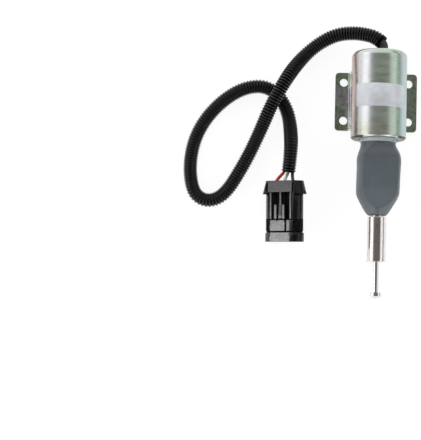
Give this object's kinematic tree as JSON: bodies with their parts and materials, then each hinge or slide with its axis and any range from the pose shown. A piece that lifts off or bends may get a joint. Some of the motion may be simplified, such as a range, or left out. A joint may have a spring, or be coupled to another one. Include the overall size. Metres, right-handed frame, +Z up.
{
  "type": "fuel shutoff solenoid",
  "caption": "Pull type fuel shutoff solenoid with a bracket, dust boot, sprung coupling sleeve and rod, and a lead in corrugated conduit with an oval three way connector.",
  "frame": {"origin": "centre of the bracket's four bolt holes, on the face that is bolted down", "axes": "+Z up off the base along the bolts, +Y along the solenoid towards its lead, -Y towards its pull rod"},
  "size_m": [0.19, 0.2207, 0.0469],
  "materials": {
    "zinc_can": "zinc plate with a yellow green passivate, satin",
    "zinc_bracket": "zinc plate with a darker iridescent passivate, satin",
    "foil": "printed foil, bare of words",
    "soft_iron": "turned and plated",
    "brass": "drawn tube",
    "bobbin_nylon": "natural nylon",
    "enamel_wire": "enamelled copper",
    "tape": "amber tape",
    "lead_insulation": "wire insulation",
    "rubber_black": "moulded rubber",
    "shrink_tube": "heat shrunk tube",
    "ring_nylon": "light moulded ring",
    "boot_rubber": "blue grey matte rubber",
    "spring_steel": "drawn spring wire",
    "bright_chrome": "bright plated",
    "conduit_black": "glossy black corrugated tube",
    "wire_red": "wire insulation",
    "wire_white": "wire insulation",
    "wire_black": "wire insulation",
    "connector_black": "moulded nylon, half gloss",
    "lock_grey": "moulded nylon, dark grey",
    "tin": "tin plated terminal",
    "seal_rubber": "silicone seal"
  },
  "bodies": {
    "housing": {"housing_can": "zinc_can", "mounting_bracket": "zinc_bracket", "label": "foil", "front_plate": "soft_iron", "rear_plate": "soft_iron", "backstop": "soft_iron", "guide_tube": "brass", "bobbin": "bobbin_nylon", "pull_winding": "enamel_wire", "hold_winding": "enamel_wire", "coil_wrap": "tape", "coil_leads": "lead_insulation", "wire_grommet": "rubber_black", "lead_sleeve": "shrink_tube", "boot_ring": "ring_nylon", "boot": "boot_rubber", "return_spring": "spring_steel", "conduit": "conduit_black", "connector_housing": "connector_black", "terminal_lock": "lock_grey", "wire_red": "wire_red", "wire_white": "wire_white", "wire_black": "wire_black", "terminal_blade_1": "tin", "wire_seal_1": "seal_rubber", "terminal_blade_2": "tin", "wire_seal_2": "seal_rubber", "terminal_blade_3": "tin", "wire_seal_3": "seal_rubber"},
    "plunger": {"plunger": "bright_chrome", "coupling_sleeve": "bright_chrome", "overtravel_spring": "spring_steel", "sleeve_washer": "bright_chrome", "retaining_ring": "spring_steel"},
    "link_rod": {"link_rod": "bright_chrome", "rod_nut": "soft_iron"}
  },
  "joints": [
    {"name": "plunger_slide", "type": "slide", "parent": "housing", "child": "plunger", "axis": [0, 1, 0], "range_m": [0, 0.0254], "stiffness_N_per_m": 380, "springref_m": -0.03, "deforming": ["boot", "return_spring"]},
    {"name": "link_rod_slide", "type": "slide", "parent": "plunger", "child": "link_rod", "axis": [0, -1, 0], "range_m": [0, 0.008], "stiffness_N_per_m": 2000, "springref_m": -0.004, "deforming": ["overtravel_spring"]}
  ]
}
